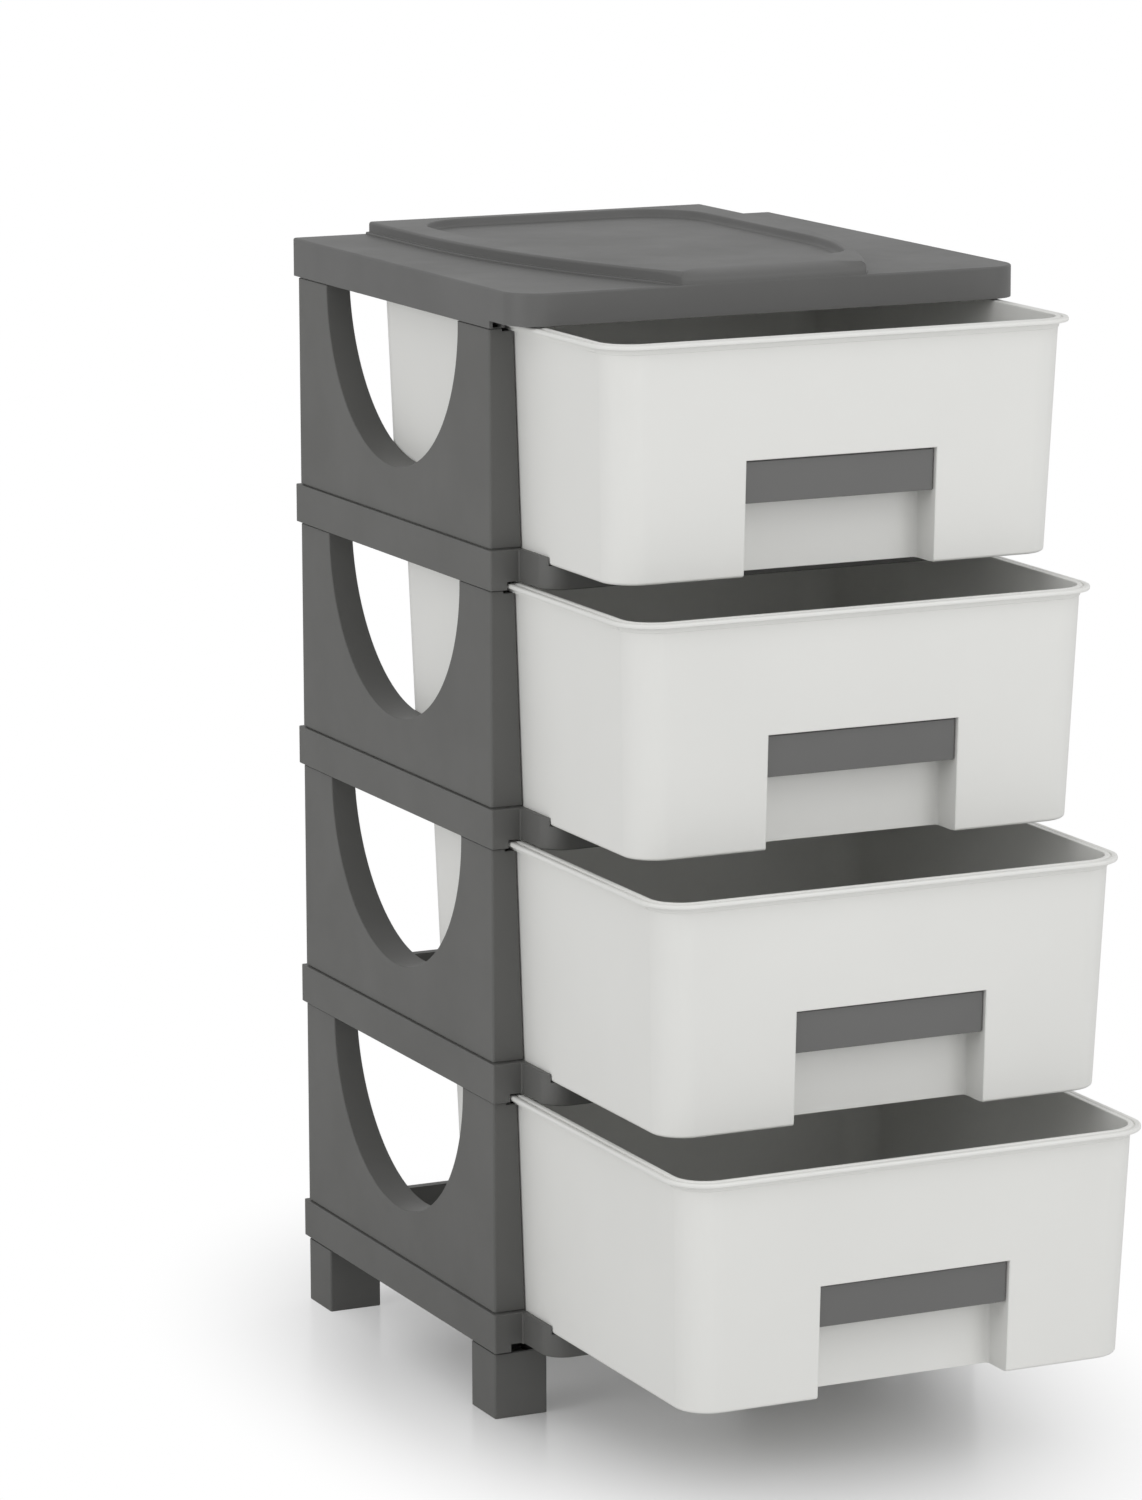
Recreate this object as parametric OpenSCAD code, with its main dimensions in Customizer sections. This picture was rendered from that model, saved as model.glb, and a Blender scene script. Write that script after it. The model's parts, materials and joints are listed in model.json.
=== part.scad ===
// Four-drawer plastic storage tower: moulded side panels stacked between ring frames,
// under a tray-topped lid, with drawers that slide on ledges along the panels' tops.

/* [Tower] */
// Width over the frames
tower_w = 404; // [340:2:460]
// Depth of the frames from front band to back
tower_d = 359; // [320:1:420]
// Height of one tier, from one seam to the next
pitch = 188; // [170:1:220]
// Height of the feet
leg_h = 51; // [30:1:80]
// Side of a square foot
leg_w = 42; // [38:1:55]
// Outer wall of a foot
leg_wall = 4.5; // [3:0.5:8]
// Cross ribs inside a foot
leg_rib = 3; // [2:0.5:5]
// Top plate of a foot
leg_top = 3; // [2:0.5:6]

/* [Frames] */
// Height of a frame's band and of the lid's rim
band_h = 29; // [25:1:40]
// Thickness of the upright outer walls
skirt_t = 2.6; // [2:0.2:3.6]
// Thickness of the flat top web
web_t = 2.4; // [2:0.2:5]
// Thickness of the ribs under the web
rib_t = 2.4; // [2:0.1:3.2]
// How far the bay stands out in front of the band
bay_reach = 47.5; // [40:0.5:60]
// Corner radius of the bay
bay_r = 17; // [10:1:25]
// Thickness of the bay's side walls
bay_wall = 3.8; // [2.5:0.1:6]
// Lower edge of the bay above the band's lower edge
bay_lift = 5.5; // [5:0.1:8]
// Thickness of the bay's front rail
front_rail_t = 6.5; // [4:0.5:12]
// Width of the back rail
back_rail_w = 8; // [6:0.5:12]
// Step from the panel's seat to the channel that the rim below runs in
channel_step = 1; // [0.5:0.1:2]
// Running gap between the drawer's bottom corner and the frame's opening
guide_gap = 0.8; // [0.4:0.1:2]

/* [Side panels] */
// Depth of a side panel's flanges at the top of the drawer's rim
panel_t = 18.8; // [17:0.2:23]
// Step from the frame's side to the panel's face
panel_inset_x = 1.9; // [1:0.1:2.8]
// Step from the frame's front to the panel's edge
panel_inset_y = 4.7; // [3.5:0.1:8]
// Wall of a side panel
panel_skin = 2.4; // [2:0.2:4]
// Radius of the half-round cut-out
cut_r = 120; // [60:1:125]
// Centre of the cut-out below the panel's top
cut_drop = 1.5; // [0:0.5:10]
// Width of the panel's top that carries the frame above
seat_w = 10.5; // [8:0.1:12]
// Depth of the slide ledge below the panel's top
ledge_drop = 3; // [2:0.5:5]
// Length of a locating tongue
tongue_l = 34; // [20:1:36]
// Height of a locating tongue
tongue_h = 11; // [6:0.5:12]
// Gap around a locating tongue
fit_gap = 0.3; // [0.1:0.05:0.4]

/* [Drawers] */
// Drop of the drawer's bottom below the frame's top
dip = 6; // [4:0.5:8]
// Height of the rim above the seam
rim_rise = 4.5; // [3:0.1:4.8]
// Thickness of the rim
rim_t = 3.5; // [2.5:0.1:4]
// Gap between the rim and the side of its channel
rim_gap = 0.9; // [0.5:0.1:2]
// Width of the rim behind the back wall
rim_back_w = 2; // [1:0.5:4]
// Gap between the moving drawer and what guides it
slide_gap = 0.3; // [0.2:0.05:0.5]
// Gap between the drawer's sides and the posts
side_gap = 1; // [0.5:0.1:2]
// Inward slope of each side wall from top to bottom
side_taper = 5.8; // [4:0.1:10]
// Slope of the front wall from top to bottom
front_taper = 8; // [2:0.5:12]
// Slope of the back wall from top to bottom
back_taper = 4; // [1:0.5:8]
// Upright corner radius
drawer_r = 25; // [15:1:40]
// Radius of the bottom edge
bottom_r = 4; // [3.5:0.5:10]
// Thickness of the walls
wall_t = 2.2; // [1.8:0.1:3.2]
// Thickness of the floor
floor_t = 2.4; // [2:0.2:3.4]
// Front of a closed drawer behind the bay's front
front_setback = 0; // [0:0.5:5]
// Free space behind a closed drawer
rear_gap = 1; // [0.5:0.5:6]
// Width of the runner strip under the rim
runner_w = 3.5; // [3:0.1:4.5]

/* [Handles] */
// Width of the pocket in the drawer front
pocket_w = 150; // [110:2:190]
// Top of the pocket below the seam
pocket_top = 82.4; // [60:0.2:100]
// Depth of the pocket
pocket_d = 26; // [22:0.5:34]
// Corner radius of the pocket
pocket_r = 3; // [2:0.5:10]
// Height of the grip bar
grip_h = 30.5; // [22:0.5:42]
// Wall of the grip bar
grip_t = 3; // [2:0.2:4]
// Face of the grip bar behind the drawer front
grip_setback = 3; // [1.5:0.5:5]
// Gap around the grip bar
grip_gap = 0.2; // [0.1:0.05:0.4]

/* [Lid] */
// Corner radius at the lid's front
lid_r = 25; // [12:1:40]
// Height of the raised plateau
plateau_h = 9.4; // [7:0.2:14]
// Side margin of the plateau at the back
plateau_side = 61; // [50:1:75]
// Distance from the back over which the plateau's sides run straight
plateau_straight = 95; // [60:5:150]
// Radius of the plateau's curved sides
plateau_side_r = 750; // [600:10:900]
// Front of the plateau behind the lid's front
plateau_setback = 4.5; // [4:0.5:8]
// Radius of the plateau's rolled front edge
plateau_front_r = 8; // [4:0.5:9]
// Depth of the tray in the plateau
tray_depth = 6; // [4:0.5:8]
// Side margin of the tray at the back
tray_side = 87; // [80:1:100]
// How far the tray's sides close in towards the front
tray_narrowing = 13; // [0:1:18]
// Front of the tray behind the band's front
tray_front = 10; // [5:1:30]
// Margin of the tray at the back
tray_back = 15; // [9:0.5:20]
// Radius of the tray's front corners
tray_front_r = 31; // [15:1:40]
// Radius of the tray's back corners
tray_back_r = 50; // [20:1:60]

/* [Opening] */
// Opening of the first drawer from the top
open_1 = 100.5; // [0:0.5:255]
// Opening of the second drawer
open_2 = 135.5; // [0:0.5:255]
// Opening of the third drawer
open_3 = 180; // [0:0.5:255]
// Opening of the fourth drawer
open_4 = 218; // [0:0.5:255]

/* [Hidden] */
TIERS = 4;
OPEN = [open_1, open_2, open_3, open_4];
$fn = 64;

// Fineness of the round corners inside a hull
HULL_FN = 32;
// Overlap that makes a cut pass a face
EPS = 0.1;
// Fineness of the large cut-out
CUT_FN = 128;

FRAME_GREY = "#6a6865";
LID_GREY = "#706e6b";
DRAWER_WHITE = "#dad7d2";
GRIP_GREY = "#55524f";

half_w = tower_w / 2;
panel_h = pitch - band_h;
panel_back_y = tower_d - panel_inset_y;
cut_y = tower_d / 2;
// More than the depth of a panel's flanges, to cut them through
panel_reach = panel_inset_x + panel_t + 2 * side_taper;

// Levels that follow the stack
function frame_z(k) = leg_h + (TIERS - k) * pitch;
function seam_z(k) = frame_z(k) + pitch;

// Drawer sizes, from the panels that guide it and the channel that its rim runs in
drawer_top_half = half_w - panel_inset_x - panel_t - side_gap;
drawer_bottom_half = drawer_top_half - side_taper;
drawer_bottom_z = -panel_h - dip;
drawer_h = rim_rise - drawer_bottom_z;
drawer_front_y = front_setback - bay_reach;
channel_half = half_w - panel_inset_x - seat_w - channel_step;
rim_w = channel_half - rim_gap - drawer_top_half;

// The rim of a closed drawer clears the band's back wall, and its foot clears the back rail
drawer_back_y = tower_d - rear_gap
    - max(skirt_t + rim_back_w, back_rail_w - back_taper * (1 - dip / drawer_h));

// Outer faces of a closed drawer's walls at height z above the seam
function drawer_part(z) = (z - drawer_bottom_z) / drawer_h;
function drawer_half(z) = drawer_bottom_half + side_taper * drawer_part(z);
function drawer_front(z) = drawer_front_y - front_taper * drawer_part(z);
function drawer_back(z) = drawer_back_y - back_taper * (1 - drawer_part(z));

// Half width of the frame's opening, clear of the drawer's sides at the frame's top
open_half = drawer_half(-panel_h) + guide_gap;
bay_half = open_half + bay_wall;
opening_r = bay_r - bay_wall;

// Locating tongues stand between the outer wall and the middle rib
rib_x = panel_inset_x + seat_w - rib_t;
tongue_t = rib_x - skirt_t - 2 * fit_gap;
tongue_y = panel_inset_y + (leg_w - tongue_l) / 2;

// The origin is on the floor, under the middle of the tower with its drawers as they stand
rim_front_y = drawer_front(rim_rise) - rim_w;
rim_back_y = drawer_back_y + rim_back_w;
origin_y = (rim_front_y - max(OPEN) + tower_d) / 2;

// Rectangle with round corners of radius r
module round_rect(x0, x1, y0, y1, r) {
    translate([x0 + r, y0]) square([x1 - x0 - 2 * r, y1 - y0]);
    translate([x0, y0 + r]) square([x1 - x0, y1 - y0 - 2 * r]);
    for (x = [x0 + r, x1 - r], y = [y0 + r, y1 - r]) translate([x, y]) circle(r);
}

// Both copies of a shape that is drawn on the left
module both_sides() {
    children();
    mirror([1, 0, 0]) children();
}

// Both copies of a shape that is drawn at the front
module both_ends() {
    children();
    translate([0, tower_d, 0]) mirror([0, 1, 0]) children();
}

// Tongue at a post's end, from the band's lower or upper face
module tongue(z0, z1) {
    translate([-half_w + skirt_t + fit_gap, tongue_y, z0]) cube([tongue_t, tongue_l, z1 - z0]);
}

// ---------------------------------------------------------------- frames and lid

// Outline of the band, drawn in by a margin
module band_outline(margin) {
    translate([-half_w + margin, margin]) square([tower_w - 2 * margin, tower_d - 2 * margin]);
}

// Outline of the bay in front of the band
module bay_outline() {
    intersection() {
        round_rect(-bay_half, bay_half, -bay_reach, bay_reach, bay_r);
        translate([-bay_half, -bay_reach]) square([2 * bay_half, bay_reach + skirt_t]);
    }
}

// The opening that the drawer above hangs in
module ring_opening() {
    y0 = front_rail_t - bay_reach;
    y1 = tower_d - back_rail_w;
    round_rect(-open_half, open_half, y0, y1, opening_r);
}

// Ribs that stiffen a side rail and sit on the panels below
module rail_ribs() {
    both_sides() {
        translate([-half_w + rib_x, 0, 0]) cube([rib_t, tower_d, band_h - web_t / 2]);
        translate([-open_half - rib_t, 0, 0]) cube([rib_t, tower_d, band_h - web_t / 2]);
        translate([-half_w, 0, 0]) cube([half_w - open_half, skirt_t, band_h - web_t / 2]);
    }
}

// Space under a frame or the lid that the rim of the drawer below slides through
module rim_channel() {
    y0 = -2 * bay_reach;
    translate([-channel_half, y0, -EPS])
        cube([2 * channel_half, tower_d - skirt_t - y0, bay_lift + EPS]);
}

// Slots that take the tongues of the panels above
module tongue_slots() {
    both_sides() both_ends()
        translate([-half_w + skirt_t, tongue_y - fit_gap, band_h - 2 * web_t])
            cube([rib_x - skirt_t, tongue_l + 2 * fit_gap, 3 * web_t]);
}

module frame(k) {
    rail_top = band_h - dip - slide_gap;
    color(FRAME_GREY) translate([0, -origin_y, frame_z(k)]) difference() {
        union() {
            translate([0, 0, band_h - web_t]) linear_extrude(web_t) band_outline(0);
            linear_extrude(band_h) difference() {
                band_outline(0);
                band_outline(skirt_t);
            }
            linear_extrude(band_h) bay_outline();
            rail_ribs();
        }
        translate([0, 0, -EPS]) linear_extrude(band_h + 2 * EPS) ring_opening();
        rim_channel();
        translate([-half_w, -bay_reach - EPS, rail_top])
            cube([tower_w, front_rail_t + EPS, band_h]);
        translate([-open_half, -bay_reach, rail_top])
            cube([2 * open_half, front_rail_t + opening_r, band_h]);
        tongue_slots();
    }
}

// Outline of the lid, drawn in by a margin
module lid_outline(margin) {
    intersection() {
        translate([-half_w + margin, -bay_reach + margin])
            square([tower_w - 2 * margin, bay_reach + tower_d - 2 * margin]);
        round_rect(-half_w + margin, half_w - margin, -bay_reach + margin, 2 * tower_d, lid_r - margin);
    }
}

// Outline of the plateau, drawn in by a margin: straight sides that curve in towards the front
module plateau_outline(margin) {
    half = half_w - plateau_side - margin;
    y0 = plateau_setback - bay_reach + margin;
    y_turn = tower_d - plateau_straight;
    intersection() {
        translate([-half, y0]) square([2 * half, tower_d - margin - y0]);
        side_arcs(half, y_turn, plateau_side_r - margin);
    }
}

// Region between the two side arcs of the plateau, open towards the back
module side_arcs(half, y_turn, r) {
    translate([-half, y_turn]) square([2 * half, tower_d]);
    intersection() {
        translate([r - half, y_turn]) circle(r, $fn = 4 * CUT_FN);
        translate([half - r, y_turn]) circle(r, $fn = 4 * CUT_FN);
    }
}

// Outline of the tray, grown by a margin: sides that close in a little towards the front
module tray_outline(margin) {
    back_half = half_w - tray_side + margin;
    front_half = back_half - tray_narrowing;
    y0 = tray_front - margin;
    y1 = tower_d - tray_back + margin;
    front_r = tray_front_r + margin;
    back_r = tray_back_r + margin;
    polygon([
        [-front_half, y0 + front_r], [-front_half + front_r, y0],
        [front_half - front_r, y0], [front_half, y0 + front_r],
        [back_half, y1 - back_r], [back_half - back_r, y1],
        [-back_half + back_r, y1], [-back_half, y1 - back_r]
    ]);
    for (s = [-1, 1]) {
        translate([s * (front_half - front_r), y0 + front_r]) circle(front_r);
        translate([s * (back_half - back_r), y1 - back_r]) circle(back_r);
    }
}

// Rolled front edge of the plateau, as the piece to cut away
module plateau_roll() {
    y0 = plateau_setback - bay_reach;
    z1 = band_h + plateau_h;
    r = plateau_front_r;
    difference() {
        translate([-half_w, y0 - EPS, z1 - r]) cube([tower_w, r + EPS, r + EPS]);
        translate([-half_w, y0 + r, z1 - r]) rotate([0, 90, 0]) cylinder(h = tower_w, r = r);
    }
}

module top_cover() {
    top = band_h + plateau_h;
    tray_z = top - tray_depth;
    color(LID_GREY) translate([0, -origin_y, seam_z(1)]) difference() {
        union() {
            translate([0, 0, band_h - web_t]) linear_extrude(web_t) lid_outline(0);
            linear_extrude(band_h) difference() {
                lid_outline(0);
                lid_outline(skirt_t);
            }
            rail_ribs();
            translate([0, 0, band_h - web_t]) linear_extrude(plateau_h + web_t) plateau_outline(0);
        }
        plateau_roll();
        translate([0, 0, tray_z]) linear_extrude(tray_depth + EPS) tray_outline(0);
        translate([0, 0, band_h - web_t - EPS])
            linear_extrude(plateau_h + EPS) difference() {
                plateau_outline(plateau_front_r);
                tray_outline(web_t);
            }
        translate([0, 0, band_h - web_t - EPS])
            linear_extrude(plateau_h - tray_depth + EPS) intersection() {
                plateau_outline(plateau_front_r);
                tray_outline(web_t);
            }
        rim_channel();
        translate([-half_w - EPS, -bay_reach - EPS, -EPS])
            cube([tower_w + 2 * EPS, bay_reach + EPS, bay_lift + EPS]);
    }
}

// ---------------------------------------------------------------- side panels and feet

// Cut-out with its centre just below the panel's top, grown by a margin
module cut_out(margin) {
    r = cut_r + margin;
    translate([-half_w, cut_y, -cut_drop])
        rotate([0, 90, 0]) cylinder(h = panel_reach, r = r, $fn = CUT_FN);
    translate([-half_w, cut_y - r, -cut_drop]) cube([panel_reach, 2 * r, cut_drop + EPS]);
}

// A left side panel: an outer skin with flanges all round, open towards the drawer.
// The flanges' inner faces slope as the drawer's side does.
module side_panel(k) {
    x0 = -half_w + panel_inset_x;
    y0 = panel_inset_y;
    d = panel_back_y - y0;
    hollow_top = -ledge_drop - panel_skin;
    translate([0, -origin_y, seam_z(k)]) {
        difference() {
            translate([0, panel_back_y, 0]) rotate([90, 0, 0]) linear_extrude(d) polygon([
                [x0, -panel_h], [-drawer_half(-panel_h) - side_gap, -panel_h],
                [-drawer_half(0) - side_gap, 0], [x0, 0]
            ]);
            cut_out(0);
            translate([x0 + seat_w, y0 - EPS, -ledge_drop])
                cube([panel_reach, d + 2 * EPS, ledge_drop + EPS]);
            difference() {
                translate([x0 + panel_skin, y0 + panel_skin, -panel_h + panel_skin])
                    cube([panel_reach, d - 2 * panel_skin, panel_h - panel_skin + hollow_top]);
                cut_out(panel_skin);
            }
        }
        both_ends() {
            tongue(-EPS, tongue_h);
            tongue(-panel_h - web_t - tongue_h, -panel_h + EPS);
        }
    }
}

module side_panel_left(k) {
    color(FRAME_GREY) side_panel(k);
}

module side_panel_right(k) {
    color(FRAME_GREY) mirror([1, 0, 0]) side_panel(k);
}

// The front left foot: a square block, hollow from below between crossing ribs
module leg() {
    x0 = -half_w + panel_inset_x;
    cell = (leg_w - 2 * leg_wall - leg_rib) / 2;
    translate([x0, panel_inset_y, 0]) difference() {
        cube([leg_w, leg_w, leg_h]);
        for (i = [0, 1], j = [0, 1])
            translate([leg_wall + i * (cell + leg_rib), leg_wall + j * (cell + leg_rib), -EPS])
                cube([cell, cell, leg_h - leg_top + EPS]);
    }
    tongue(leg_h - EPS, leg_h + tongue_h);
}

module leg_front_left() {
    color(FRAME_GREY) translate([0, -origin_y, 0]) leg();
}

module leg_front_right() {
    color(FRAME_GREY) translate([0, -origin_y, 0]) mirror([1, 0, 0]) leg();
}

module leg_back_left() {
    color(FRAME_GREY) translate([0, tower_d - origin_y, 0]) mirror([0, 1, 0]) leg();
}

module leg_back_right() {
    color(FRAME_GREY) translate([0, tower_d - origin_y, 0]) mirror([1, 0, 0]) mirror([0, 1, 0]) leg();
}

// ---------------------------------------------------------------- drawers and grips

// Thin slice of the drawer's body at height z, drawn in by a margin
module drawer_slice(z, margin) {
    half = drawer_half(z) - margin;
    translate([0, 0, z]) linear_extrude(EPS / 10)
        round_rect(-half, half, drawer_front(z) + margin, drawer_back(z) - margin, drawer_r - margin,
            $fn = HULL_FN);
}

// Drawer body from z0 up to z1, drawn in by a margin, with a bottom edge of radius r
module drawer_body(z0, z1, margin, r) {
    steps = 4;
    hull() {
        for (i = [0:steps]) {
            a = 90 * i / steps;
            drawer_slice(z0 + r * (1 - cos(a)), margin + r * (1 - sin(a)));
        }
        drawer_slice(z1, margin);
    }
}

// Pocket for the hand, grown by a margin, open at the front and below
module pocket(margin) {
    half = pocket_w / 2 + margin;
    r = pocket_r + margin;
    y0 = rim_front_y - EPS;
    y1 = drawer_front_y + pocket_d + margin;
    translate([0, 0, drawer_bottom_z - EPS])
        linear_extrude(-pocket_top + margin - drawer_bottom_z + EPS) intersection() {
            round_rect(-half, half, y0 - 2 * r, y1, r);
            translate([-half, y0]) square([2 * half, y1 - y0]);
        }
}

// Outline of the rim: wide at the front and the sides, narrow at the back
module rim_outline() {
    half = drawer_top_half + rim_w;
    mid_y = (rim_front_y + rim_back_y) / 2;
    round_rect(-half, half, rim_front_y, mid_y + drawer_r + rim_w, drawer_r + rim_w);
    round_rect(-half, half, mid_y - drawer_r, rim_back_y, drawer_r + rim_back_w);
}

// Rim all round the drawer's top, over the outer half of the wall
module drawer_rim() {
    m = wall_t / 2;
    half = drawer_top_half - m;
    translate([0, 0, rim_rise - rim_t]) linear_extrude(rim_t) difference() {
        rim_outline();
        round_rect(-half, half, drawer_front(rim_rise) + m, drawer_back_y - m, drawer_r - m);
    }
}

// Straight strips under the rim that slide on the panels' ledges
module drawer_runners() {
    y0 = rim_front_y + drawer_r + rim_w;
    y1 = rim_back_y - drawer_r - rim_back_w;
    z0 = -ledge_drop + slide_gap;
    both_sides()
        translate([-drawer_top_half - runner_w, y0, z0])
            cube([runner_w + wall_t / 2, y1 - y0, rim_rise - rim_t / 2 - z0]);
}

module drawer(k) {
    color(DRAWER_WHITE) translate([0, -origin_y - OPEN[k - 1], seam_z(k)]) {
        difference() {
            drawer_body(drawer_bottom_z, rim_rise, 0, bottom_r);
            difference() {
                drawer_body(drawer_bottom_z + floor_t, rim_rise + EPS, wall_t, bottom_r - floor_t);
                pocket(wall_t);
            }
            pocket(0);
        }
        drawer_rim();
        drawer_runners();
    }
}

// Side view of the grip bar, drawn in by a margin at the front and the top
module grip_profile(margin, z0, z1, y_back) {
    rotate([90, 0, 90]) linear_extrude(pocket_w, center = true) polygon([
        [drawer_front(z0) + grip_setback + margin, z0],
        [drawer_front(z1) + grip_setback + margin, z1],
        [y_back, z1], [y_back, z0]
    ]);
}

// Grip bar: a face plate with a top and two ends, open below and behind for the fingers
module grip(k) {
    half = pocket_w / 2 - grip_gap;
    y1 = drawer_front_y + pocket_d - grip_gap;
    z1 = -pocket_top - grip_gap;
    z0 = z1 - grip_h;
    color(GRIP_GREY) translate([0, -origin_y - OPEN[k - 1], seam_z(k)]) difference() {
        intersection() {
            grip_profile(0, z0, z1, y1);
            translate([0, 0, z0]) linear_extrude(grip_h)
                round_rect(-half, half, rim_front_y - pocket_r, y1, pocket_r);
        }
        intersection() {
            grip_profile(grip_t, z0 - EPS, z1 - grip_t, y1 + EPS);
            translate([-half + grip_t, rim_front_y, z0 - 2 * EPS])
                cube([2 * (half - grip_t), y1 - rim_front_y + 2 * EPS, grip_h]);
        }
    }
}

// ---------------------------------------------------------------- what is drawn

top_cover();
for (k = [1:TIERS]) {
    side_panel_left(k);
    side_panel_right(k);
    frame(k);
    drawer(k);
    grip(k);
}
leg_front_left();
leg_front_right();
leg_back_left();
leg_back_right();
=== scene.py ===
import functools
import json
import math

import bmesh
import bpy
from mathutils import Matrix, Vector


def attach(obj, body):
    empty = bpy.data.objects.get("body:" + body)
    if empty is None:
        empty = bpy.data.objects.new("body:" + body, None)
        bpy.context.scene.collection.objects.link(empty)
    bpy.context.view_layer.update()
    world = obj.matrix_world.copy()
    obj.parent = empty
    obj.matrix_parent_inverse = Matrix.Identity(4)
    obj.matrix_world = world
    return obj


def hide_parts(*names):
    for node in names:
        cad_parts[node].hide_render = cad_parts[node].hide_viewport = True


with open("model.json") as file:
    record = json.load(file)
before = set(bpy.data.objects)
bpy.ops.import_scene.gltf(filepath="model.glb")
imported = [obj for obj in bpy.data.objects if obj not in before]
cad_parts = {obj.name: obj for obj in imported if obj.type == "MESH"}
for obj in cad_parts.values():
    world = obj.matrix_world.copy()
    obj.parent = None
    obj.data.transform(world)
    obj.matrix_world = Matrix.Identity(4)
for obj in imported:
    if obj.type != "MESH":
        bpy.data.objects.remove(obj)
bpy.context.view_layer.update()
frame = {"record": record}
scene = bpy.context.scene

# ------------------------------------------------------------------ camera
# Fitted to the photograph's edges: it looks 25 degrees to the right and 11 degrees down
CAM_AT = Vector((-1.96281, -3.92559, 1.34209))
CAM_YAW = 0.43868
CAM_PITCH = 0.19484
CAM_ROLL = -0.00319
CAM_LENS = 145.996
CAM_SENSOR = 36

cam_data = bpy.data.cameras.new("camera")
cam_data.lens = CAM_LENS
cam_data.sensor_width = CAM_SENSOR
cam = bpy.data.objects.new("camera", cam_data)
scene.collection.objects.link(cam)
look = Vector((math.sin(CAM_YAW) * math.cos(CAM_PITCH), math.cos(CAM_YAW) * math.cos(CAM_PITCH),
               -math.sin(CAM_PITCH)))
level = Vector((math.cos(CAM_YAW), -math.sin(CAM_YAW), 0))
side = level * math.cos(CAM_ROLL) + level.cross(look) * math.sin(CAM_ROLL)
cam.location = CAM_AT
cam.rotation_euler = Matrix((side, side.cross(look), -look)).transposed().to_euler()
scene.camera = cam

# ------------------------------------------------------------------ sizes, in mm
# Tower coordinates: x from the middle, y from the frames' front face, z from the floor.
# A seam is the level of a tier's panel tops, where the moulding above begins.
MM = 0.001
TIERS = 4
OPEN = [100.5, 135.5, 180.0, 218.0]

# The tower, and the walls of its frames and lid
HALF_W = 202.0
DEPTH = 359.0
PITCH = 188.0
LEG_H = 51.0
BAND_H = 29.0
PANEL_H = PITCH - BAND_H
SKIRT = 2.6
WEB = 2.4
RIB = 2.4
RIB_X = 10.0
BAY_REACH = 47.5
BAY_LIFT = 5.5

# Panels and feet stand in from the frames' sides and ends. A panel has its thickness PANEL_T at
# the level of the rims and is thicker below, as the drawers are narrower there.
PANEL_SET = 1.9
PANEL_X = -HALF_W + PANEL_SET
POST_Y = 4.7
PANEL_T = 18.8

# Drawers, with z from their seam. They have gaps beside and behind them, beside their rims in
# the channel above, and over the rail below.
DRAWER_GAP = 1.0
RIM_GAP = 0.9
SLIDE_GAP = 0.3
CHANNEL_HALF = 188.6
DIP = 6.0
RIM_RISE = 4.5
BOTTOM_Z = -PANEL_H - DIP
TOP_HALF = HALF_W - PANEL_SET - PANEL_T - DRAWER_GAP
SIDE_TAPER = 5.8
FRONT_TAPER = 8.0
BACK_TAPER = 4.0
WALL = 2.2
FLOOR_T = 2.4
DRAWER_R = 25.0
RIM_W = CHANNEL_HALF - RIM_GAP - TOP_HALF
RIM_BACK_W = 2.0
BACK_Y = DEPTH - SKIRT - RIM_BACK_W - DRAWER_GAP

# The middle of the box round the tower with its drawers as they stand open
ORIGIN_Y = (DEPTH - BAY_REACH - FRONT_TAPER - RIM_W - max(OPEN)) / 2


def seam(k):
    """Height of tier k's seam; tier 1 is at the top."""
    return LEG_H + (TIERS - k) * PITCH + PITCH


def place(x, y, z):
    """A point of the tower in the row frame, in metres."""
    return Vector((x * MM, (y - ORIGIN_Y) * MM, z * MM))


# ------------------------------------------------------------------ materials
PLASTIC_SPECULAR = 0.4
# Noise in the plastics: cells per metre, octaves and roughness
COLOUR_DRIFT = (5, 3, 0.5)
ROUGHNESS_DRIFT = (14, 4, 0.6)
RIPPLES = (9, 1, 0.5)
GRAIN_OCTAVES = 2
# The part of a noise's range that is spread over the colours and the roughness
NOISE_RANGE = (0.3, 0.7)
# How far the roughness goes below and above a plastic's own value
ROUGHNESS_RANGE = (-0.04, 0.05)
GRAIN_STRENGTH = 0.35
RIPPLE_STRENGTH = 0.5
PURE_WHITE = (1, 1, 1, 1)


def add_node(tree, kind, **inputs):
    """A new shader node; _ stands for the space in an input's name, and a socket is linked."""
    node = tree.nodes.new("ShaderNode" + kind)
    for name, value in inputs.items():
        socket = node.inputs[name.replace("_", " ")]
        if isinstance(value, bpy.types.NodeSocket):
            tree.links.new(value, socket)
        else:
            socket.default_value = value
    return node


def mix_shaders(tree, share, first, second):
    """The first shader where the share is 0, the second where it is 1."""
    mix = add_node(tree, "MixShader")
    for socket, source in zip(mix.inputs, (share, first, second)):
        tree.links.new(source, socket)
    return mix.outputs[0]


def new_material(name):
    mat = bpy.data.materials.new(name)
    mat.use_nodes = True
    mat.node_tree.nodes.clear()
    return mat


def linear(value):
    """A screen value from 0 to 255 as linear light."""
    v = value / 255
    return v / 12.92 if v <= 0.04045 else ((v + 0.055) / 1.055) ** 2.4


def rgb(r, g, b):
    return (linear(r), linear(g), linear(b), 1)


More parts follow.
